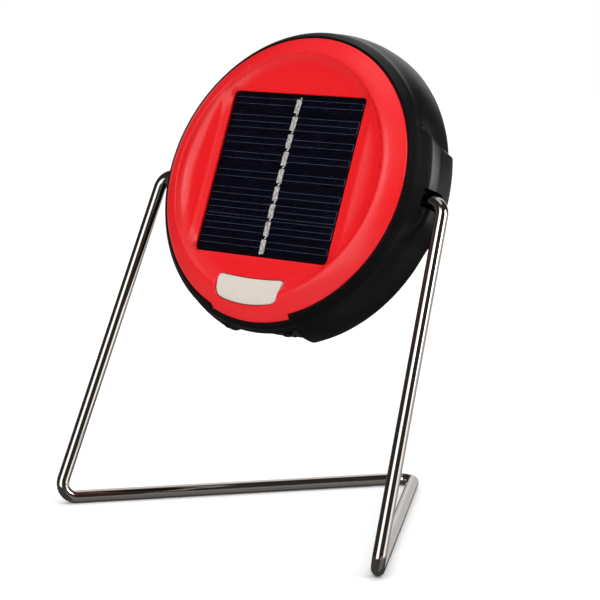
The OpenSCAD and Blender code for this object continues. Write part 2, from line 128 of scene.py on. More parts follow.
def outward(obj):
    """Turns the faces outwards."""
    bm = bmesh.new()
    bm.from_mesh(obj.data)
    bmesh.ops.recalc_face_normals(bm, faces=bm.faces)
    bm.to_mesh(obj.data)
    bm.free()


def soften(obj, degrees):
    """Smooth shading with the sharp edges marked."""
    mesh = obj.data
    mesh.polygons.foreach_set("use_smooth", [True] * len(mesh.polygons))
    mesh.set_sharp_from_angle(angle=math.radians(degrees))


def rows_to_faces(rows, columns, wrap_rows):
    """Quads between neighbouring rows; wrap_rows joins the last row to the first."""
    faces = []
    for i in range(rows if wrap_rows else rows - 1):
        a, b = i * columns, ((i + 1) % rows) * columns
        for k in range(columns):
            k2 = (k + 1) % columns
            faces.append((a + k, a + k2, b + k2, b + k))
    return faces


def loft(name, rows, wrap_rows=False, smooth_deg=35.0, in_head=True):
    """A closed mesh from rows of points, each of which is a closed loop."""
    rows = np.asarray(rows, float)
    count, columns = rows.shape[:2]
    verts = rows.reshape(-1, 3)
    faces = rows_to_faces(count, columns, wrap_rows)
    if not wrap_rows:
        faces.append(tuple(range(columns)))
        faces.append(tuple(range((count - 1) * columns, count * columns)))
    return mesh_object(name, to_row(verts) if in_head else verts, faces, smooth_deg)


def circle(columns):
    """Angles of evenly spaced points round a circle."""
    return np.linspace(0, 2 * np.pi, columns, endpoint=False)


def rays(angles):
    """Unit directions in the face plane."""
    return np.column_stack([np.cos(angles), np.sin(angles)])


def ring_row(directions, r, z):
    """A row of points at a radius and a height, each of which may change from ray to ray."""
    return np.column_stack([r * directions[:, 0], r * directions[:, 1], z + np.zeros(len(directions))])


def revolve(name, profile, columns=256, smooth_deg=35.0, centre=(0.0, 0.0)):
    """A ring, or a disc where the profile starts and ends on the axis; its points are (radius, z)."""
    around = rays(circle(columns))
    shift = np.array([*centre, 0.0])
    rows = [ring_row(around, r, z) + shift for r, z in profile]
    obj = loft(name, rows, wrap_rows=profile[0][0] > 0, smooth_deg=smooth_deg)
    weld(obj)
    return obj


def weld(obj):
    """Merges the points that meet on a revolved mesh's axis."""
    bm = bmesh.new()
    bm.from_mesh(obj.data)
    bmesh.ops.remove_doubles(bm, verts=bm.verts, dist=0.002 * MM)
    bmesh.ops.dissolve_degenerate(bm, dist=0.0001 * MM, edges=bm.edges)
    bmesh.ops.recalc_face_normals(bm, faces=bm.faces)
    bm.to_mesh(obj.data)
    bm.free()


def level_row(outline, z):
    """A closed outline in the face plane as a row of points at one height."""
    return np.column_stack([outline, np.full(len(outline), z)])


def prism(outline, z_low, z_high):
    """A prism over a closed outline in the face plane."""
    return loft("prism", [level_row(outline, z_low), level_row(outline, z_high)])


def cut(obj, *tools, smooth_deg=35.0):
    """Cuts each tool out of the mesh in turn and removes it."""
    for tool in tools:
        mod = obj.modifiers.new("cut", "BOOLEAN")
        mod.operation = "DIFFERENCE"
        mod.solver = "EXACT"
        mod.object = tool
        bpy.context.view_layer.update()
        evaluated = obj.evaluated_get(bpy.context.evaluated_depsgraph_get())
        mesh = bpy.data.meshes.new_from_object(evaluated)
        obj.modifiers.clear()
        old, obj.data = obj.data, mesh
        bpy.data.meshes.remove(old)
        bpy.data.objects.remove(tool)
    soften(obj, smooth_deg)


def box(low, high):
    """A box in the head between two corners."""
    (x0, y0, z0), (x1, y1, z1) = low, high
    verts = [(x, y, z) for x in (x0, x1) for y in (y0, y1) for z in (z0, z1)]
    faces = [(0, 1, 3, 2), (4, 6, 7, 5), (0, 4, 5, 1), (2, 3, 7, 6), (0, 2, 6, 4), (1, 5, 7, 3)]
    return mesh_object("box", to_row(verts), faces)


def unit(v):
    return v / np.linalg.norm(v)


def square_to(axis):
    """A vector at a right angle to an axis."""
    return np.cross(axis, [0.0, 0.0, 1.0] if abs(axis[2]) < 0.9 else [1.0, 0.0, 0.0])


def ring_round(axis, side, radius, columns):
    """Points round an axis; side is the direction of the first one."""
    around = rays(circle(columns))
    return radius * (around[:, :1] * side + around[:, 1:] * np.cross(axis, side))


def cylinder(start, end, radius, columns=64):
    """A cylinder in the head between the middles of its two ends."""
    start, end = np.asarray(start, float), np.asarray(end, float)
    axis = unit(end - start)
    ring = ring_round(axis, unit(square_to(axis)), radius, columns)
    return loft("cylinder", [start + ring, end + ring])


def join(name, *objs):
    """Several meshes as one object."""
    bm = bmesh.new()
    for o in objs:
        bm.from_mesh(o.data)
    mesh = bpy.data.meshes.new(name)
    bm.to_mesh(mesh)
    bm.free()
    for o in objs:
        bpy.data.objects.remove(o)
    obj = bpy.data.objects.new(name, mesh)
    bpy.context.scene.collection.objects.link(obj)
    return obj


def rounded_box(low, high, radius):
    """A box with rounded edges."""
    obj = box(low, high)
    bm = bmesh.new()
    bm.from_mesh(obj.data)
    bmesh.ops.bevel(bm, geom=bm.edges, offset=radius * MM, segments=3, profile=0.5, affect="EDGES")
    bm.to_mesh(obj.data)
    bm.free()
    soften(obj, 40)
    return obj


def plate(name, upper, lower, smooth_deg=35.0):
    """A closed plate between two grids of points of the same shape."""
    rows, columns = upper.shape[:2]
    count = rows * columns
    faces = []
    for i in range(rows - 1):
        for k in range(columns - 1):
            a = i * columns + k
            quad = (a, a + 1, a + columns + 1, a + columns)
            faces.append(quad)
            faces.append(tuple(v + count for v in reversed(quad)))
    rim = list(range(columns))
    rim += [i * columns + columns - 1 for i in range(1, rows)]
    rim += [(rows - 1) * columns + k for k in range(columns - 2, -1, -1)]
    rim += [i * columns for i in range(rows - 2, 0, -1)]
    for a, b in zip(rim, rim[1:] + rim[:1]):
        faces.append((b, a, a + count, b + count))
    verts = np.vstack([upper.reshape(-1, 3), lower.reshape(-1, 3)])
    return mesh_object(name, to_row(verts), faces, smooth_deg)


def place(obj, name, body, slot, *replaced, look=None):
    """Names a finished piece, gives it its body and its slot's material, and hides the CAD parts it replaces; look
    is for one unlike its slot.
    """
    obj.name = name
    obj.data.name = name
    obj.data.materials.clear()
    obj.data.materials.append(MATERIALS[look or slot])
    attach(obj, body)
    if replaced:
        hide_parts(*replaced)


# ---------------------------------------------------------------- materials

def srgb(r, g, b):
    """Linear colour from 0-255 display values."""
    def one(c):
        c /= 255
        return c / 12.92 if c <= 0.04045 else ((c + 0.055) / 1.055) ** 2.4
    return (one(r), one(g), one(b), 1.0)


def shade(colour, factor):
    """A colour made lighter or darker."""
    return tuple(min(1.0, c * factor) for c in colour[:3]) + (1.0,)


def moulded(name, colour, roughness, grain_mm=0.25, bump=0.04, variation=0.06, metallic=0.0,
            rough_spread=0.05, patch_mm=9.0, stretch=(1, 1, 1)):
    """Shared base of the materials: patchy colour, uneven roughness and a fine grain in the surface."""
    mat = bpy.data.materials.new(name)
    mat.use_nodes = True
    nodes, links = mat.node_tree.nodes, mat.node_tree.links
    shader = nodes["Principled BSDF"]
    shader.inputs["Metallic"].default_value = metallic
    coord = nodes.new("ShaderNodeTexCoord")
    mapping = nodes.new("ShaderNodeMapping")
    mapping.inputs["Scale"].default_value = stretch
    links.new(coord.outputs["Object"], mapping.inputs["Vector"])

    def noise(size_mm, detail):
        tex = nodes.new("ShaderNodeTexNoise")
        tex.inputs["Scale"].default_value = 1 / (size_mm * MM)
        tex.inputs["Detail"].default_value = detail
        links.new(mapping.outputs["Vector"], tex.inputs["Vector"])
        return tex

    patches = noise(patch_mm, 3.0)
    ramp = nodes.new("ShaderNodeValToRGB")
    ramp.color_ramp.elements[0].position = 0.3
    ramp.color_ramp.elements[1].position = 0.7
    ramp.color_ramp.elements[0].color = shade(colour, 1 - variation)
    ramp.color_ramp.elements[1].color = shade(colour, 1 + variation)
    links.new(patches.outputs["Fac"], ramp.inputs["Fac"])
    links.new(ramp.outputs["Color"], shader.inputs["Base Color"])

    wear = noise(patch_mm * 0.4, 4.0)
    spread = nodes.new("ShaderNodeMapRange")
    spread.inputs["From Min"].default_value = 0.3
    spread.inputs["From Max"].default_value = 0.7
    spread.inputs["To Min"].default_value = max(0.01, roughness - rough_spread)
    spread.inputs["To Max"].default_value = roughness + rough_spread
    links.new(wear.outputs["Fac"], spread.inputs["Value"])
    links.new(spread.outputs["Result"], shader.inputs["Roughness"])

    if bump:
        grain = noise(grain_mm, 2.0)
        relief = nodes.new("ShaderNodeBump")
        relief.inputs["Strength"].default_value = bump
        relief.inputs["Distance"].default_value = 0.1 * MM
        links.new(grain.outputs["Fac"], relief.inputs["Height"])
        links.new(relief.outputs["Normal"], shader.inputs["Normal"])
    return mat


def embedded(mat):
    """Lowers the surface reflection of something that lies in clear resin."""
    mat.node_tree.nodes["Principled BSDF"].inputs["Specular IOR Level"].default_value = 0.08
    return mat


def glassy(name, colour, roughness):
    """Clear acrylic."""
    mat = moulded(name, colour, roughness, bump=0.0, variation=0.01, rough_spread=roughness * 0.3)
    shader = mat.node_tree.nodes["Principled BSDF"]
    shader.inputs["Transmission Weight"].default_value = 1.0
    shader.inputs["IOR"].default_value = 1.49
    return mat


def film(name, colour, roughness, opacity):
    """A thin clear layer: mostly see-through, with a little of its own shine."""
    mat = moulded(name, colour, roughness, bump=0.0, variation=0.1, rough_spread=roughness * 0.3, patch_mm=15)
    mat.node_tree.nodes["Principled BSDF"].inputs["Alpha"].default_value = opacity
    return mat


MATERIALS = {
    "plated_wire": moulded("plated_wire", srgb(214, 206, 200), 0.07, grain_mm=0.6, bump=0.015,
                           variation=0.03, metallic=1.0, rough_spread=0.03, patch_mm=14),
    "red_plastic": moulded("red_plastic", srgb(221, 25, 31), 0.27, grain_mm=0.18, bump=0.02,
                           variation=0.008, rough_spread=0.008, patch_mm=40),
    "black_plastic": moulded("black_plastic", (0.0016, 0.0016, 0.0017, 1), 0.34, grain_mm=0.15, bump=0.03,
                             variation=0.15, rough_spread=0.03, patch_mm=20),
    "cream_plastic": moulded("cream_plastic", srgb(205, 197, 185), 0.32, grain_mm=0.2, bump=0.02,
                             variation=0.02, patch_mm=6),
    "panel_potting": film("panel_potting", (0.004, 0.004, 0.008, 1), 0.06, 0.06),
    "silicon": embedded(moulded("silicon", srgb(2, 3, 16), 0.5, bump=0.0, variation=0.5, patch_mm=3.0)),
    "fingers": embedded(moulded("fingers", srgb(76, 80, 98), 0.5, bump=0.0, variation=0.3,
                                patch_mm=2.5)),
    # The tinned tabs are a pale matt grey with strong small blotches, not shiny metal. The pale colour is a
    # painted reflection of the bright studio that shiny solder shows. The blotches are partly the solder's own
    # uneven tone and partly painted shade of its lumps.
    "solder": moulded("solder", srgb(184, 180, 178), 0.38, grain_mm=0.45, bump=0.4, variation=0.75,
                      rough_spread=0.12, patch_mm=0.8, stretch=(1.8, 1, 1)),
    "panel_board": embedded(moulded("panel_board", (0.002, 0.002, 0.003, 1), 0.5, variation=0.2)),
    "rubber": moulded("rubber", (0.02, 0.02, 0.021, 1), 0.6, grain_mm=0.3, bump=0.1, variation=0.15),
    "switch_case": moulded("switch_case", (0.09, 0.09, 0.095, 1), 0.45, variation=0.1),
    "circuit_board": moulded("circuit_board", srgb(18, 92, 44), 0.3, grain_mm=0.5, bump=0.05,
                             variation=0.2, patch_mm=2.0),
    "chip_plastic": moulded("chip_plastic", (0.015, 0.015, 0.016, 1), 0.5, variation=0.15),
    "ferrite": moulded("ferrite", srgb(70, 62, 56), 0.6, bump=0.15, variation=0.2, patch_mm=1.5),
    "capacitor_sleeve": moulded("capacitor_sleeve", srgb(40, 48, 110), 0.25, variation=0.05),
    "plated_steel": moulded("plated_steel", srgb(190, 188, 184), 0.28, grain_mm=0.3, bump=0.08,
                            variation=0.1, metallic=1.0, patch_mm=2.0),
    "port_plastic": moulded("port_plastic", (0.018, 0.013, 0.017, 1), 0.45, variation=0.15),
    "frame_plastic": moulded("frame_plastic", (0.05, 0.05, 0.055, 1), 0.5, variation=0.1),
    "battery_wrap": moulded("battery_wrap", srgb(40, 110, 180), 0.25, variation=0.06),
    "led_board": moulded("led_board", srgb(232, 232, 234), 0.4, variation=0.05, patch_mm=3.0),
    "led_phosphor": moulded("led_phosphor", srgb(244, 214, 110), 0.5, variation=0.08, patch_mm=1.0),
    "reflector_white": moulded("reflector_white", srgb(236, 237, 240), 0.2, variation=0.02, bump=0.01),
    "lens_clear": glassy("lens_clear", (0.97, 0.98, 1.0, 1), 0.12),
    "lead_insulation": moulded("lead_insulation", srgb(150, 26, 22), 0.45, variation=0.1),
}

slot_of = {s["node"]: s["material_slot"] for s in frame["record"]["subparts"]}
for node_name, node_object in frame["nodes"].items():
    node_object.data.materials.clear()
    node_object.data.materials.append(MATERIALS[slot_of[node_name]])
    soften(node_object, 30.0)

# ---------------------------------------------------------------- wire stand

WIRE_R = 2.25 * MM
BEND_R = 5.0 * MM
FOOT_X = 70.3 * MM
FOOT_FORWARD = 42.2 * MM
APEX_BACK = 81.2 * MM
SHOULDER_X = 61.3 * MM
WIRE_END_X = 46.0 * MM


def wire_corners():
    """Sharp corners of the wire's centreline, from the tilt axis and the bottom of the CAD wire."""
    y_pivot, z_pivot = pivot[1], pivot[2]
    z_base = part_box("wire_stand")[0].z + WIRE_R
    foot = np.array([FOOT_X, y_pivot - FOOT_FORWARD, z_base])
    apex = np.array([0.0, y_pivot + APEX_BACK, z_base])
    shoulder = np.array([SHOULDER_X, y_pivot, z_pivot])
    end = np.array([WIRE_END_X, y_pivot, z_pivot])
    flip = np.array([-1.0, 1.0, 1.0])
    return [end * flip, shoulder * flip, foot * flip, apex, foot, shoulder, end]


def bend_points(a, b, c, steps=16):
    """Points of the arc that rounds the corner at b."""
    d1, d2 = unit(a - b), unit(c - b)
    half = math.acos(float(d1 @ d2)) / 2
    mid = unit(d1 + d2)
    centre = b + mid * BEND_R / math.sin(half)
    across = unit(np.cross(unit(np.cross(b - a, c - b)), -mid))
    angles = np.linspace(-1, 1, steps + 1) * (math.pi / 2 - half)
    return [centre + BEND_R * (math.cos(t) * -mid + math.sin(t) * across) for t in angles]


def tube_rows(points, radius, sides):
    """Rings along a path, carried without twist."""
    points = np.asarray(points, float)
    tangent = np.gradient(points, axis=0)
    tangent /= np.linalg.norm(tangent, axis=1)[:, None]
    side = square_to(tangent[0])
    rows = []
    for p, t in zip(points, tangent):
        side = unit(side - t * (side @ t))
        rows.append(p + ring_round(t, side, radius, sides))
    return rows


def make_wire():
    """The bent wire: straight runs and round bends along one path."""
    corners = wire_corners()
    path = [corners[0]]
    for a, b, c in zip(corners[:-2], corners[1:-1], corners[2:]):
        path.extend(bend_points(a, b, c))
    path.append(corners[-1])
    rows = tube_rows(path, WIRE_R, 40)
    wire = loft("wire", rows, in_head=False, smooth_deg=50)
    place(wire, "bent_wire", "stand", "plated_wire", "wire_stand")


make_wire()

# ---------------------------------------------------------------- bezel

# The panel's window: half width, half height, its middle and the radius of its corners
WINDOW_X = 28.75
WINDOW_Y = 29.3
WINDOW_CY = -0.2
WINDOW_ROUND = 1.8
WINDOW_EDGE_Z = 2.0
COLUMNS = 900
bezel_rays = rays(circle(COLUMNS))


def window_distance(x, y):
    """Distance outside the window's rounded outline; negative inside it."""
    qx = np.abs(x) - (WINDOW_X - WINDOW_ROUND)
    qy = np.abs(y - WINDOW_CY) - (WINDOW_Y - WINDOW_ROUND)
    beyond = np.hypot(np.maximum(qx, 0), np.maximum(qy, 0))
    return beyond + np.minimum(np.maximum(qx, qy), 0) - WINDOW_ROUND


def window_loop(grow):
    """Radius of the window's outline along each ray, with the window grown by a distance."""
    low = np.zeros(COLUMNS)
    high = np.full(COLUMNS, BEZEL_R)
    for _ in range(40):
        mid = (low + high) / 2
        inside = window_distance(mid * bezel_rays[:, 0], mid * bezel_rays[:, 1]) < grow
        low = np.where(inside, mid, low)
        high = np.where(inside, high, mid)
    return low


# The power button: its middle, its arcs above and below, and their half widths
BUTTON_CY = -41.0
BUTTON_TOP_Y = -37.3
BUTTON_TOP_R = 140.0
BUTTON_LOW_R = 46.3
BUTTON_TOP_X = 14.1
BUTTON_LOW_X = 12.9
BUTTON_ROUND = 3.9
BUTTON_GAP = 0.28


def button_outline(grow):
    """Outline of the button, anticlockwise: nearly straight on top, concentric with the bezel below."""
    top_x = np.linspace(BUTTON_TOP_X, -BUTTON_TOP_X, 30)
    top_y = BUTTON_TOP_Y + BUTTON_TOP_R - np.sqrt(BUTTON_TOP_R ** 2 - top_x ** 2)
    low_x = np.linspace(-BUTTON_LOW_X, BUTTON_LOW_X, 30)
    low_y = -np.sqrt(BUTTON_LOW_R ** 2 - low_x ** 2)
    outline = np.vstack([np.column_stack([top_x, top_y]), np.column_stack([low_x, low_y])])
    outline = np.vstack([outline, outline[:1]])
    return offset_outline(round_corners(outline, BUTTON_ROUND), grow)


def round_corners(outline, radius):
    """Smooths a closed outline by averaging along it over about the radius."""
    spacing = 0.12
    p = finer(outline, spacing)[:-1]
    width = int(radius / spacing)
    kernel = np.hanning(2 * width + 1)
    kernel /= kernel.sum()
    padded = np.vstack([p[-width:], p, p[:width]])
    return np.column_stack([np.convolve(padded[:, k], kernel, mode="valid") for k in (0, 1)])


def offset_outline(outline, grow):
    """Moves an anticlockwise outline outwards by a distance."""
    tangent = np.roll(outline, -1, axis=0) - np.roll(outline, 1, axis=0)
    tangent /= np.linalg.norm(tangent, axis=1)[:, None]
    return outline + np.column_stack([tangent[:, 1], -tangent[:, 0]]) * grow


BUTTON_HOLE = button_outline(BUTTON_GAP)


def outline_distance(x, y, outline):
    """Distance from an outline to points near it; the others get the largest distance looked for."""
    furthest = 3.0
    points = np.column_stack([x.ravel(), y.ravel()])
    distance = np.full(len(points), furthest)
    low = outline.min(axis=0) - furthest
    high = outline.max(axis=0) + furthest
    near = np.where(np.all((points > low) & (points < high), axis=1))[0]
    # in parts, which keeps the table of all distances small
    for part in np.array_split(near, 1 + len(near) // 4000):
        gaps = np.linalg.norm(points[part][:, None, :] - outline[None, ::2, :], axis=2)
        distance[part] = gaps.min(axis=1)
    return distance.reshape(x.shape)


# The bezel's section from the scoop's floor over the crest to the outer edge: radius, height
CREST_SECTION = [(36.0, 1.75), (38.0, 1.8), (39.4, 2.1), (40.9, 2.7), (42.0, 3.4), (42.9, 4.4),
                 (43.1, 4.58), (43.6, 4.62), (44.5, 4.35), (46.0, 3.5), (47.6, 2.4), (48.9, 1.4),
                 (49.7, 0.7), (50.0, 0.35), (BEZEL_R, 0.0)]
crest_curve = round_off(CREST_SECTION, 5)
crest_top = int(np.argmax(crest_curve[:, 1]))
crest_r, crest_z = crest_curve[crest_top]
# Left and right of the window: how far off the ridge lies, its height, and the scoop's width and floor
RIDGE = 3.4
RIDGE_Z = 2.62
SCOOP_W = 5.2
SCOOP_Z = CREST_SECTION[0][1]
# From this radius outwards the rows of the bezel's mesh are circles
ROUND_R = 41.5
# The tab at the bottom: half width, and how far it reaches out and down
TAB_X = 16.4
TAB_REACH = 1.3
TAB_DROP = 1.6


def crest_share(r):
    """0 on the bezel's floor, 1 at the top of its crest."""
    inner = crest_curve[:crest_top + 1]
    return (np.interp(r, inner[:, 0], inner[:, 1]) - SCOOP_Z) / (crest_z - SCOOP_Z)


def bowl_height(x, y):
    """Height of the bezel inside its crest."""
    off_window = np.maximum(window_distance(x, y), 0)
    # a gentle slope above and below the window
    slope = WINDOW_EDGE_Z + 0.1 + 0.045 * off_window
    # left and right a bevel, a low ridge and a scooped crescent
    side = np.abs(x) - WINDOW_X
    rise = np.clip(side, 0, RIDGE)
    bevel = RIDGE_Z - 0.1 * (RIDGE - rise) - 0.27 * (1 - np.exp((rise - RIDGE) / 0.9))
    fall = SCOOP_Z + (RIDGE_Z - SCOOP_Z) * (1 - np.clip((side - RIDGE) / SCOOP_W, 0, 1)) ** 1.3
    worn_ridge = 0.08 * np.exp(-((side - RIDGE) / 0.4) ** 2)
    scoop = np.minimum(bevel, fall) - worn_ridge
    along = smoothstep(31.0, 26.0, np.abs(y + 1.0)) * smoothstep(-1.0, 0.2, side)
    floor = slope + (scoop - slope) * along
    z = floor + (crest_z - floor) * crest_share(np.hypot(x, y))
    # the window's own edge is rounded down to one height
    return z - (z - WINDOW_EDGE_Z) * np.exp(-(off_window / 0.5) ** 1.5)


def tab_share(directions, outer, inner):
    """1 along the tab at the bottom, 0 elsewhere; its ends fade between two half widths."""
    return smoothstep(outer, inner, np.abs(BEZEL_R * directions[:, 0])) * (directions[:, 1] < 0)


def bezel_upper_rows(tab):
    """From the window's edge up to the crest and down its outer slope, which reaches out into the tab."""
    # rows that turn from the window's outline to a circle, then circles up the crest's steep wall
    window = window_loop(0.0)
    shares = np.concatenate([[0.0, 0.004, 0.012, 0.03], np.linspace(0.05, 1, 96)])
    radii = [window + (ROUND_R - window) * share for share in shares]
    radii += list(np.linspace(ROUND_R, crest_r, 26)[1:])
    rows = [ring_row(bezel_rays, r, bowl_height(*(r * bezel_rays.T))) for r in radii]
    for r, z in crest_curve[crest_top + 1:]:
        out = (r - crest_r) / (BEZEL_R - crest_r)
        rows.append(ring_row(bezel_rays, r + TAB_REACH * tab * out, z - TAB_DROP * tab * out ** 2))
    rows = np.array(rows)
    # the button's hole has a softened edge
    off_hole = outline_distance(rows[..., 0], rows[..., 1], BUTTON_HOLE)
    rows[..., 2] -= 0.3 * np.exp(-(off_hole / 0.28) ** 1.6)
    return rows


def bezel_lower_rows(tab):
    """Round the edge, down the skirt and back under the bezel to its window."""
    edge_r = BEZEL_R + TAB_REACH * tab
    edge_z = -TAB_DROP * tab
    section = [(edge_r - 0.12, edge_z - 0.18), (49.8, edge_z - 0.2), (49.8, -1.0 - 0.8 * tab),
               (47.6, -1.0), (47.6, 0.2), (45.2, 2.1), (43.3, 2.5), (41.6, 1.1),
               (window_loop(0.6), 1.12), (window_loop(0.0), 1.12)]
    return [ring_row(bezel_rays, r, z) for r, z in section]


def make_bezel():
    """The red front, with the hole for the button."""
    tab = tab_share(bezel_rays, TAB_X + 0.25, TAB_X - 0.25)
    rows = np.concatenate([bezel_upper_rows(tab), bezel_lower_rows(tab)])
    bezel = loft("bezel_skin", rows, wrap_rows=True, smooth_deg=60)
    cut(bezel, prism(BUTTON_HOLE, -6, 9), smooth_deg=60)
    place(bezel, "bezel_skin", "head", "red_plastic", "bezel")


make_bezel()

# ---------------------------------------------------------------- power button


def button_crown(x, y):
    """The button's top follows the bezel's crest at a lower height."""
    r = np.hypot(x, y)
    return 2.95 + 1.15 * smoothstep(36.5, 43.0, r) - 0.75 * smoothstep(43.4, 46.6, r) ** 1.5


def make_button():
    """The cap with its rounded edge, the flange that keeps it in, and the stem down to the plunger."""
    outline = button_outline(0.0)
    middle = np.array([0.0, BUTTON_CY - 0.7])
    rounding = 0.75
    rows = [level_row(outline, -1.2), level_row(outline, 1.5)]
    rows.append(np.column_stack([outline, button_crown(*outline.T) - 0.7 * rounding]))
    for share in (0.995, 0.985, 0.97, 0.95, 0.925, 0.9, 0.86, 0.8, 0.7, 0.55, 0.4, 0.25, 0.12, 0.02):
        x, y = (middle + (outline - middle) * share).T
        inside = np.minimum(outline_distance(x, y, outline), rounding)
        drop = rounding * (1 - np.sqrt(1 - (1 - inside / rounding) ** 2))
        rows.append(np.column_stack([x, y, button_crown(x, y) - 0.7 * drop]))
    cap = loft("cap", rows, smooth_deg=50)
    stem = cylinder((0, BUTTON_CY, -1.25), (0, BUTTON_CY, -9.7), 2.2)
    flange = prism(offset_outline(outline, 0.8), -1.3, -0.4)
    button = join("button", cap, stem, flange)
    soften(button, 50)
    place(button, "button_cap", "button", "cream_plastic", "power_button")


make_button()

# ---------------------------------------------------------------- rear shell

# Depths are measured backwards from the bezel's edge plane.
# The shell's outer surface from its rim backwards: radius, depth
SHELL_OUTER = [(51.0, 0.0), (51.25, 0.3), (52.4, 1.6), (53.25, 2.7), (53.4, 3.6), (53.6, 4.6), (54.2, 6.2),
               (54.9, 8.2), (55.4, 10.5), (55.7, 13.0), (55.75, 16.0), (55.6, 17.3), (55.0, 18.4),
               (53.6, 20.2), (50.6, 23.4), (47.2, 27.0), (44.2, 30.2), (42.7, 32.0), (40.8, 33.4),
               (38.8, 34.0), (36.2, 34.0)]
# Its inner surface from the back forwards
SHELL_INNER = [(36.2, 32.0), (38.0, 32.0), (42.4, 29.0), (49.0, 22.0), (51.4, 17.0), (51.4, 12.0),
               (50.6, 8.0), (49.6, 5.4), (46.9, 4.5), (46.9, 3.0), (50.2, 3.0)]
# The raised pads round the wire's ends: depth, radius
PAD = round_off([(0.3, 51.25), (1.6, 52.5), (3.0, 53.6), (5.7, 55.85), (6.5, 56.3), (8.6, 56.95), (9.7, 57.2),
                 (10.8, 57.25), (16.6, 57.25), (18.6, 56.6), (22.2, 51.8), (40.0, 30.0)], 2)
# The port recess has a flat floor this far below the middle, and a wall behind it
RECESS_Y = 50.9
WALL = 1.6
# The rim is cut back by this much for the bezel's tab
NOTCH_DEPTH = 1.8
# The pockets for the wire's bends, from this far off the middle outwards, and the bores of the bushes
POCKET_X = 52.0
POCKET_ROUND = 0.5
BUSH_BORE_R = 4.2
# The four screw wells, and the two sockets' holes at the bottom
WELL_X = 39
WELL_Y = 18
WELL_R = 3.0
SOCKET_DEPTH = 11.2
JACK_X = 7.5
JACK_R = 2.6
USB_X = -7.3
USB_W = 8.0
USB_H = 3.2
# Finer columns at the pads and at the port recess
SHELL_DEGREES = [np.linspace(0, 360, 480, endpoint=False), np.linspace(-22, 22, 200) % 360,
                 np.linspace(158, 202, 200), np.linspace(248, 292, 220)]
shell_rays = rays(np.radians(np.unique(np.round(np.concatenate(SHELL_DEGREES), 3))))
ray_down = -shell_rays[:, 1]


def along_floor(depth_below):
    """Radius at which each ray that points down meets a level floor."""
    return np.where(ray_down > 0, depth_below / np.maximum(0.001, ray_down), np.inf)


def shell_radius(r, s):
    """Adds the side pads to the round profile and cuts the port recess out of it."""
    x = r * shell_rays[:, 0]
    y = r * shell_rays[:, 1]
    ledge = 16.3 + 5.0 * np.exp(-max(s - 5.0, 0) / 2.6)
    on_pad = smoothstep(ledge + 1.3, ledge - 0.9, y) * smoothstep(-19.0, -7.5, y) * (np.abs(x) > 30)
    r = r + np.maximum(0, np.interp(s, PAD[:, 0], PAD[:, 1], left=0) - r) * on_pad
    in_recess = smoothstep(5.95, 6.2, s) * smoothstep(17.6, 14.4, np.abs(x))
    return r - (r - np.minimum(r, along_floor(RECESS_Y))) * in_recess


def shell_rows():
    """From the notched rim over the outer surface and back along the inner one."""
    outer = finer(round_off(SHELL_OUTER, 2), 0.4)
    step = np.linspace(5.85, 6.3, 7)
    outer = np.vstack([outer, np.column_stack([np.interp(step, outer[:, 1], outer[:, 0]), step])])
    outer = outer[np.lexsort((-outer[:, 0], outer[:, 1]))]
    notch = tab_share(shell_rays, TAB_X + 0.45, TAB_X + 0.15)
    rows = [ring_row(shell_rays, 50.2, -NOTCH_DEPTH * notch)]
    for r, s in outer:
        rows.append(ring_row(shell_rays, shell_radius(r, s), -s - max(0, NOTCH_DEPTH - s) * notch))
    for r, s in SHELL_INNER:
        rows.append(ring_row(shell_rays, np.minimum(r, along_floor(RECESS_Y - WALL)), -s))
    return rows


def shell_tools():
    """What is cut out of the shell: wire pockets, bush bores, screw wells and socket holes."""
    tools = []
    for side in (-1, 1):
        x0, x1 = sorted((side * POCKET_X, side * (POCKET_X + 10)))
        tools.append(rounded_box((x0, AXIS_Y - 2.9, -13.0), (x1, AXIS_Y + 3.5, -4.9), POCKET_ROUND))
        inner = (side * (POCKET_X - 8), AXIS_Y, AXIS_Z)
        tools.append(cylinder(inner, (side * (POCKET_X + 1), AXIS_Y, AXIS_Z), BUSH_BORE_R))
    for x in (-WELL_X, WELL_X):
        for y in (-WELL_Y, WELL_Y):
            tools.append(cylinder((x, y, -10), (x, y, -40), WELL_R))
    outside, inside = -RECESS_Y - 3.1, -RECESS_Y + 2.9
    tools.append(cylinder((JACK_X, outside, -SOCKET_DEPTH), (JACK_X, inside, -SOCKET_DEPTH), JACK_R))
    tools.append(box((USB_X - USB_W / 2, outside, -SOCKET_DEPTH - USB_H / 2),
                     (USB_X + USB_W / 2, inside, -SOCKET_DEPTH + USB_H / 2)))
    return tools


def door_lugs():
    """The two small ears that hold the port door's hinge pin."""
    lugs = []
    for x0, x1 in ((-13.6, -12.0), (12.0, 13.6)):
        lugs.append(cylinder((x0, -52.2, -7.5), (x1, -52.2, -7.5), 1.5, 32))
        lugs.append(rounded_box((x0, -52.2, -9.0), (x1, -50.7, -6.3), 0.15))
    return lugs


def make_shell():
    """The black housing with its cut-outs and the lugs for the door."""
    shell = loft("shell", shell_rows(), wrap_rows=True, smooth_deg=40)
    cut(shell, *shell_tools(), smooth_deg=40)
    shell = join("shell", shell, *door_lugs())
    soften(shell, 40)
    place(shell, "shell_skin", "head", "black_plastic", "rear_shell")


make_shell()

# ---------------------------------------------------------------- solar panel details

CELLS = 9
CELL_PITCH = 56.7 / CELLS
CELL_TOP = 0.7
# The fine grid lines: spacing, half width and height
FINGER_STEP = 2.25
FINGER_HALF = 0.055
FINGER_H = 0.03
# Where the top grid line of each cell lies above the cell's middle, and how many it shows, from the top down
FINGER_TOPS = [2.0, 1.9, 0.3, 0.9, 0.6, 0.6, 1.9, 2.6, 1.5]
FINGER_COUNTS = [2, 3, 2, 2, 2, 2, 3, 3, 2]


def cell_y(i):
    """Middle of a cell, counted from the top."""
    return (CELLS // 2 - i) * CELL_PITCH


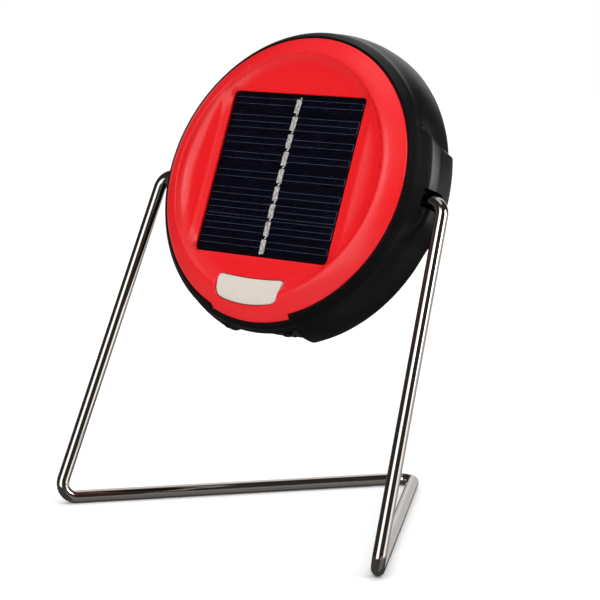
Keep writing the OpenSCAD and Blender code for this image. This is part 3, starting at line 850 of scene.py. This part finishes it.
def make_fingers():
    """Each cell's grid lines, joined at their right ends."""
    strips = []
    for i, (above, count) in enumerate(zip(FINGER_TOPS, FINGER_COUNTS)):
        top = cell_y(i) + above
        low = top - (count - 1) * FINGER_STEP
        high_z = CELL_TOP + FINGER_H
        for y in np.linspace(top, low, count):
            strips.append(box((-28.6, y - FINGER_HALF, CELL_TOP), (27.0, y + FINGER_HALF, high_z)))
        strips.append(box((26.9, low, CELL_TOP), (27.1, top, high_z)))
    fingers = join("fingers", *strips)
    place(fingers, "cell_fingers", "head", "silicon", look="fingers")


def wobble(t, seed):
    """A smooth uneven line between -1 and 1."""
    waves = np.sin(5.1 * t + 1.7 * seed) + 0.7 * np.sin(11.3 * t + 2.9 * seed) + 0.5 * np.sin(23.9 * t + seed)
    return waves / 2.2


def sheet(name, x, y, top, bottom, smooth_deg=60.0):
    """A closed plate over a grid of x and y; top and bottom are grids too, or plain heights."""
    upper = np.dstack([x, y, top + np.zeros_like(x)])
    lower = np.dstack([x, y, bottom + np.zeros_like(x)])
    return plate(name, upper, lower, smooth_deg)


def cell_tab(i):
    """The tinned strip over one cell: uneven edges and a lumpy surface."""
    across = np.linspace(-1, 1, 7)[:, None]
    y = cell_y(i) + np.linspace(2.2, -2.75, 26)
    drift = -0.4 + 0.16 * wobble(0.21 * y, 3)
    left_half = 1.05 + 0.17 * wobble(1.5 * y, 1)
    right_half = 1.02 + 0.17 * wobble(1.5 * y, 2)
    x = drift + across * np.where(across < 0, left_half, right_half)
    y = y + 0.18 * wobble(3 * across + i, 4)
    lumps = 0.055 * wobble(2.3 * x + 0.9 * y, 5) * wobble(1.9 * y - 1.1 * x, 6)
    crown = 0.05 * (1 - across ** 4)
    return sheet("tab", x, y, CELL_TOP + 0.07 + crown + lumps, CELL_TOP - 0.02, 40)


def cell_ribbon(i):
    """The narrow ribbon that runs on from one cell's tab to the next."""
    y = cell_y(i) + np.linspace(-2.5, 2.5 - CELL_PITCH, 12)
    drift = np.linspace(0.25, -0.3, 12) + 0.06 * wobble(0.8 * y, 7)
    x = drift + 0.28 * np.linspace(-1, 1, 4)[:, None]
    return sheet("ribbon", x, np.tile(y, (len(x), 1)), CELL_TOP + 0.08, CELL_TOP - 0.02, 40)


def tab_tip(x_middle, y_middle, width, height):
    """The stub of solder at an end of the row of cells."""
    x = np.tile(x_middle + width * np.linspace(-0.5, 0.5, 5)[:, None], (1, 6))
    y = y_middle + height * np.linspace(-0.5, 0.5, 6) + 0.05 * wobble(5 * x, 2)
    return sheet("tip", x, y, CELL_TOP + 0.1, CELL_TOP - 0.02)


def make_tabs():
    """All the solder down the middle of the panel."""
    strips = [cell_tab(i) for i in range(CELLS)]
    strips += [cell_ribbon(i) for i in range(CELLS - 1)]
    strips += [tab_tip(0.3, 27.6, 0.55, 1.1), tab_tip(-0.75, -28.05, 0.4, 0.5)]
    place(join("tabs", *strips), "solder_tabs", "head", "solder", "cell_tabs")


def make_cover():
    """The clear resin's skin: faintly uneven, and drawn up at its edges."""
    half = 29.95
    t = half * np.sin(np.linspace(-np.pi / 2, np.pi / 2, 61))
    x, y = np.meshgrid(t, t, indexing="ij")
    edge = half - np.maximum(np.abs(x), np.abs(y))
    top = 1.0 + 0.09 * np.exp(-edge / 0.8) + 0.006 * wobble(0.11 * x + 0.03 * y, 1) * wobble(0.09 * y, 2)
    cover = sheet("cover", x, y, top, 0.9)
    place(cover, "resin_cover", "head", "panel_potting", "panel_cover")


make_fingers()
make_tabs()
make_cover()

# ---------------------------------------------------------------- lamp side


def make_lens():
    """A shallow dome with rings moulded into its outer face, and a flat flange."""
    outside = [(0.0, -35.9), (10.0, -35.8), (20.0, -35.4), (28.0, -34.7), (32.9, -33.9)]
    ring_pitch = 1.75
    ring_depth = 0.22
    radii = np.linspace(0, 31.5, 190)
    dome = np.interp(radii, *np.array(outside).T)
    wave = (1 - np.cos(2 * np.pi * radii / ring_pitch)) / 2
    profile = list(zip(radii, dome + ring_depth * wave * smoothstep(1.0, 3.0, radii)))
    profile += [(32.9, -33.9), (35.8, -33.9), (36.0, -33.7), (36.0, -32.2), (35.8, -32.0), (33.0, -32.0),
                (30.0, -32.2), (20.0, -33.0), (0.0, -33.2)]
    lens = revolve("lens", profile, 160, smooth_deg=50)
    place(lens, "ribbed_lens", "head", "lens_clear", "lens")


def make_lens_ring():
    """The retaining ring, with shallow grip flutes round its edge."""
    profile = round_off([(33.7, -34.0), (33.7, -34.8), (34.4, -35.45), (37.5, -35.5), (38.6, -34.9),
                         (38.8, -34.05), (36.0, -34.05), (33.7, -34.0)], 2)
    flutes = 60
    t = circle(8 * flutes)
    groove = 0.16 * np.maximum(0, np.cos(flutes * t)) ** 2
    rows = [ring_row(rays(t), r - groove * smoothstep(37.0, 38.2, r), z) for r, z in profile[:-1]]
    ring = loft("ring", rows, wrap_rows=True, smooth_deg=40)
    place(ring, "fluted_ring", "head", "black_plastic", "lens_ring")


LED_CIRCLE_R = 14.0
led_places = [(0.0, 0.0), *(LED_CIRCLE_R * rays(circle(6)))]


def make_leds():
    """Each LED is a small white package with a yellow phosphor dome."""
    base_z = -25.9
    top_z = base_z - 0.9
    half = 1.75
    dome_r = 1.45
    dome = [(dome_r * math.cos(a), top_z + 0.1 - 0.6 * math.sin(a)) for a in np.linspace(0, math.pi / 2, 9)]
    profile = [(0.0, base_z - 0.5), (dome_r, base_z - 0.5)] + dome[:-1] + [(0.0, dome[-1][1])]
    parts = []
    for x, y in led_places:
        parts.append(rounded_box((x - half, y - half, top_z), (x + half, y + half, base_z), 0.15))
        parts.append(revolve("dome", profile, 32, centre=(x, y)))
    leds = join("leds", *parts)
    soften(leds, 50)
    place(leds, "led_domes", "head", "led_phosphor", "leds")


def make_reflector():
    """A dished plate with a flared hole round each LED."""
    profile = round_off([(0.0, -26.1), (24.4, -26.1), (32.3, -30.2), (35.8, -30.2), (35.8, -31.2),
                         (31.4, -31.2), (24.0, -26.9), (0.0, -26.9)], 2)
    dish = revolve("dish", profile, 128)
    flare = ((2.6, -24.0), (2.6, -26.2), (2.75, -26.6), (3.3, -27.0), (3.3, -29.0))
    around = rays(circle(40))
    holes = []
    for x, y in led_places:
        holes.append(loft("tool", [ring_row(around, r, z) + (x, y, 0.0) for r, z in flare]))
    cut(dish, *holes)
    place(dish, "reflector_plate", "head", "reflector_white", "reflector")


make_lens()
make_lens_ring()
make_leds()
make_reflector()

# ---------------------------------------------------------------- port door


def make_door():
    """A thin flap on a rolled hinge, with a raised rim and a finger notch in its free edge."""
    hinge_y = -51.9
    hinge_s = 7.1
    end_s = 14.7
    half = 11.65
    x, s = np.meshgrid(np.linspace(-half, half, 61), np.linspace(hinge_s + 0.3, end_s, 25), indexing="ij")
    notch = 1.15 * np.exp(-(x / 2.3) ** 4) * (s - hinge_s) / (end_s - hinge_s)
    edge = np.minimum(half - np.abs(x), end_s - s)
    rim = 0.16 * smoothstep(1.3, 0.9, edge) * smoothstep(0.0, 0.25, edge)
    outer = hinge_y - 0.34 - rim + 0.25 * smoothstep(0.25, 0.0, edge)
    inner = np.full_like(x, hinge_y + 0.45)
    flap = plate("flap", np.dstack([x, outer, notch - s]), np.dstack([x, inner, notch - s]))
    barrel = cylinder((-half, hinge_y, -hinge_s), (half, hinge_y, -hinge_s), 0.5, 32)
    pin = cylinder((-13.3, hinge_y, -hinge_s), (13.3, hinge_y, -hinge_s), 0.42, 24)
    door = join("door", flap, barrel, pin)
    soften(door, 40)
    place(door, "port_flap", "door", "port_plastic", "port_door")


make_door()

# ---------------------------------------------------------------- camera, light and floor

CAMERA_AZIMUTH = 37.596
CAMERA_ELEVATION = 7.652
CAMERA_ROLL = -2.156
LENS_MM = 118.3
# The tilt axis's middle as the camera sees it: to the right, down and away
PIVOT_FROM_CAMERA = np.array([-1.303, -38.572, 681.788]) * MM


def make_camera():
    a, e, r = (math.radians(v) for v in (CAMERA_AZIMUTH, CAMERA_ELEVATION, CAMERA_ROLL))
    forward = np.array([-math.sin(a) * math.cos(e), math.cos(a) * math.cos(e), -math.sin(e)])
    level = np.array([math.cos(a), math.sin(a), 0.0])
    down = np.cross(forward, level)
    x_axis = math.cos(r) * level + math.sin(r) * down
    y_down = -math.sin(r) * level + math.cos(r) * down
    position = pivot - PIVOT_FROM_CAMERA @ np.array([x_axis, y_down, forward])
    data = bpy.data.cameras.new("camera")
    data.sensor_width = 36.0
    data.lens = LENS_MM
    data.clip_start = 0.01
    data.clip_end = 20.0
    cam = bpy.data.objects.new("camera", data)
    bpy.context.scene.collection.objects.link(cam)
    turn = Matrix([[x_axis[k], -y_down[k], -forward[k]] for k in range(3)])
    cam.matrix_world = Matrix.Translation(Vector(position)) @ turn.to_4x4()
    bpy.context.scene.camera = cam


def sun_light(name, azimuth, elevation, power, spread):
    """A soft distant light that doesn't show in reflections."""
    data = bpy.data.lights.new(name, "SUN")
    data.energy = power
    data.angle = math.radians(spread)
    lamp = bpy.data.objects.new(name, data)
    bpy.context.scene.collection.objects.link(lamp)
    lamp.rotation_euler = direction(azimuth, elevation).to_track_quat("Z", "Y").to_euler()
    lamp.visible_glossy = False


def direction(azimuth, elevation):
    """Unit vector; azimuth 0 is in front of the lantern and 90 is at its right side."""
    a, e = math.radians(azimuth), math.radians(elevation)
    return Vector((math.sin(a) * math.cos(e), -math.cos(a) * math.cos(e), math.sin(e)))


# Softboxes round the lantern: azimuth from, to; elevation from, to; brightness; softness of the edge.
# All but the brightness are in degrees.
SOFTBOXES = [
    (-16, 25, -12, 46, 1.7, 8),
    (8, 24, 28, 52, 2.5, 10),
    (96, 127, -14, 10, 1.3, 8),
    (100, 122, 10, 36, 7.0, 8),
    (127, 178, -17, 6, 0.45, 8),
    (182, 222, -10, 14, 0.58, 12),
    (182, 222, 14, 66, 0.8, 12),
    (-148, -118, -8, 12, 0.3, 10),
    (-180, 180, 72, 90, 0.6, 8),
    (60, 135, -22, -6, 0.2, 8),
    (60, 135, -90, -22, 0.1, 8),
    (-180, 180, -90, -5, 0.03, 3),
]
DARK_ROOM = 0.03


def make_world():
    """White where the camera sees it; a dark room with softboxes where the lantern does."""
    world = bpy.data.worlds.new("studio")
    bpy.context.scene.world = world
    world.use_nodes = True
    nodes, links = world.node_tree.nodes, world.node_tree.links
    background = nodes["Background"]
    background.inputs["Color"].default_value = (1, 1, 1, 1)

    def math_node(operation, *values):
        node = nodes.new("ShaderNodeMath")
        node.operation = operation
        for socket, value in zip(node.inputs, values):
            if isinstance(value, (int, float)):
                socket.default_value = value
            else:
                links.new(value, socket)
        return node.outputs[0]

    def band(value, low, high, soft):
        """1 between low and high, falling smoothly to 0 outside."""
        edges = []
        for a, b in ((low - soft / 2, low + soft / 2), (high + soft / 2, high - soft / 2)):
            node = nodes.new("ShaderNodeMapRange")
            node.interpolation_type = "SMOOTHSTEP"
            node.inputs["From Min"].default_value = min(a, b)
            node.inputs["From Max"].default_value = max(a, b)
            node.inputs["To Min"].default_value = 0.0 if a < b else 1.0
            node.inputs["To Max"].default_value = 1.0 if a < b else 0.0
            links.new(value, node.inputs["Value"])
            edges.append(node.outputs["Result"])
        return math_node("MULTIPLY", *edges)

    coord = nodes.new("ShaderNodeTexCoord")
    split = nodes.new("ShaderNodeSeparateXYZ")
    links.new(coord.outputs["Generated"], split.inputs["Vector"])
    minus_y = math_node("MULTIPLY", split.outputs["Y"], -1.0)
    azimuth = math_node("DEGREES", math_node("ARCTAN2", split.outputs["X"], minus_y))
    elevation = math_node("DEGREES", math_node("ARCSINE", split.outputs["Z"]))
    total = DARK_ROOM
    for az0, az1, el0, el1, brightness, soft in SOFTBOXES:
        turned = math_node("WRAP", math_node("SUBTRACT", azimuth, (az0 + az1) / 2), 180.0, -180.0)
        # a box all the way round has no ends
        half = (az1 - az0) / 2 if az1 - az0 < 360 else 200
        mask = math_node("MULTIPLY", band(turned, -half, half, soft), band(elevation, el0, el1, soft))
        total = math_node("ADD", total, math_node("MULTIPLY", mask, brightness))
    path = nodes.new("ShaderNodeLightPath")
    seen = nodes.new("ShaderNodeMix")
    links.new(path.outputs["Is Camera Ray"], seen.inputs["Factor"])
    links.new(total, seen.inputs["A"])
    seen.inputs["B"].default_value = 1.0
    links.new(seen.outputs["Result"], background.inputs["Strength"])


def make_floor():
    """A plain pale floor that doesn't show in the lantern's reflections."""
    reach = 6.0
    verts = [(-reach, -reach, 0), (reach, -reach, 0), (reach, reach, 0), (-reach, reach, 0)]
    floor = mesh_object("floor", verts, [(0, 1, 2, 3)])
    pale = moulded("floor", (0.93, 0.93, 0.93, 1), 0.7, variation=0.005, bump=0.0, patch_mm=60)
    floor.data.materials.append(pale)
    floor.visible_glossy = False


make_camera()
make_world()
make_floor()
sun_light("sky", 0, 90, 2.9, 110)
sun_light("front_fill", -5, 35, 0.18, 80)
bpy.context.scene.view_settings.view_transform = "Standard"
